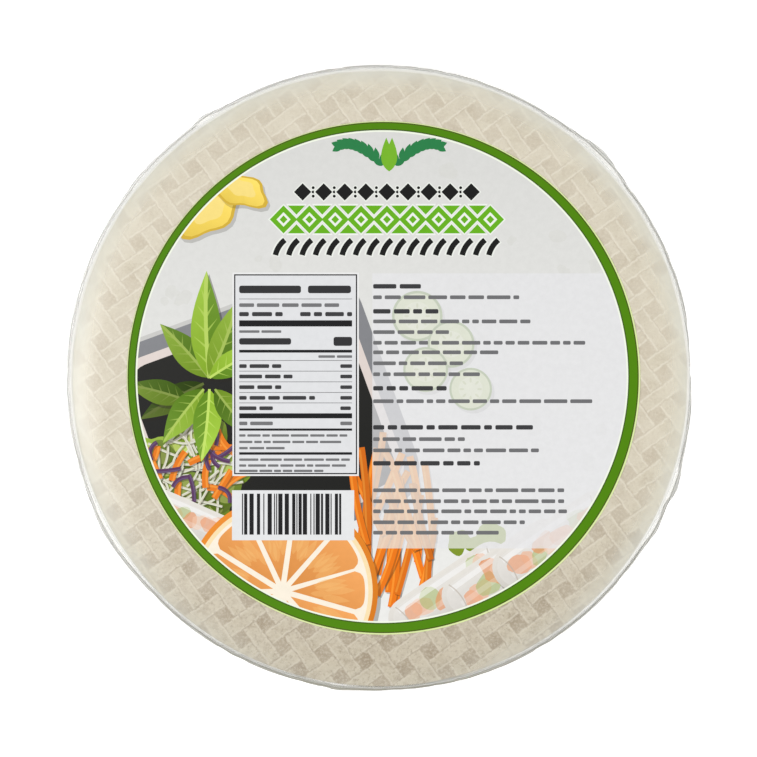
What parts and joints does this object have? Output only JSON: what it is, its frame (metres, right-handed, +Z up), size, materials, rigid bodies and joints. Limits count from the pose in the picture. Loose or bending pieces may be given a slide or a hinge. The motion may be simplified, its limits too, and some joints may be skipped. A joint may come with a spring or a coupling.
{
  "type": "sealed round pack of rice paper wrappers",
  "caption": "Round stack of thin woven-pattern rice paper sheets shrink wrapped in clear film, with a thin edge seam and a round printed label on each face.",
  "frame": {"origin": "middle of the underside, where the pack lies on its surface", "axes": "+Z up through the stack's thickness; +X to the right of the upper label as it is read, +Y to its top"},
  "size_m": [0.2234, 0.2236, 0.0143],
  "materials": {
    "clear_film": "clear shrink film, glossy, over cream sheets",
    "rice_paper": "translucent cream, dry and brittle, with a woven mat pattern pressed in",
    "label_paper": "coated white paper, printed, semi gloss"
  },
  "bodies": {
    "root": {"wrapped_stack": "clear_film", "upper_label": "label_paper", "lower_label": "label_paper"}
  },
  "joints": []
}
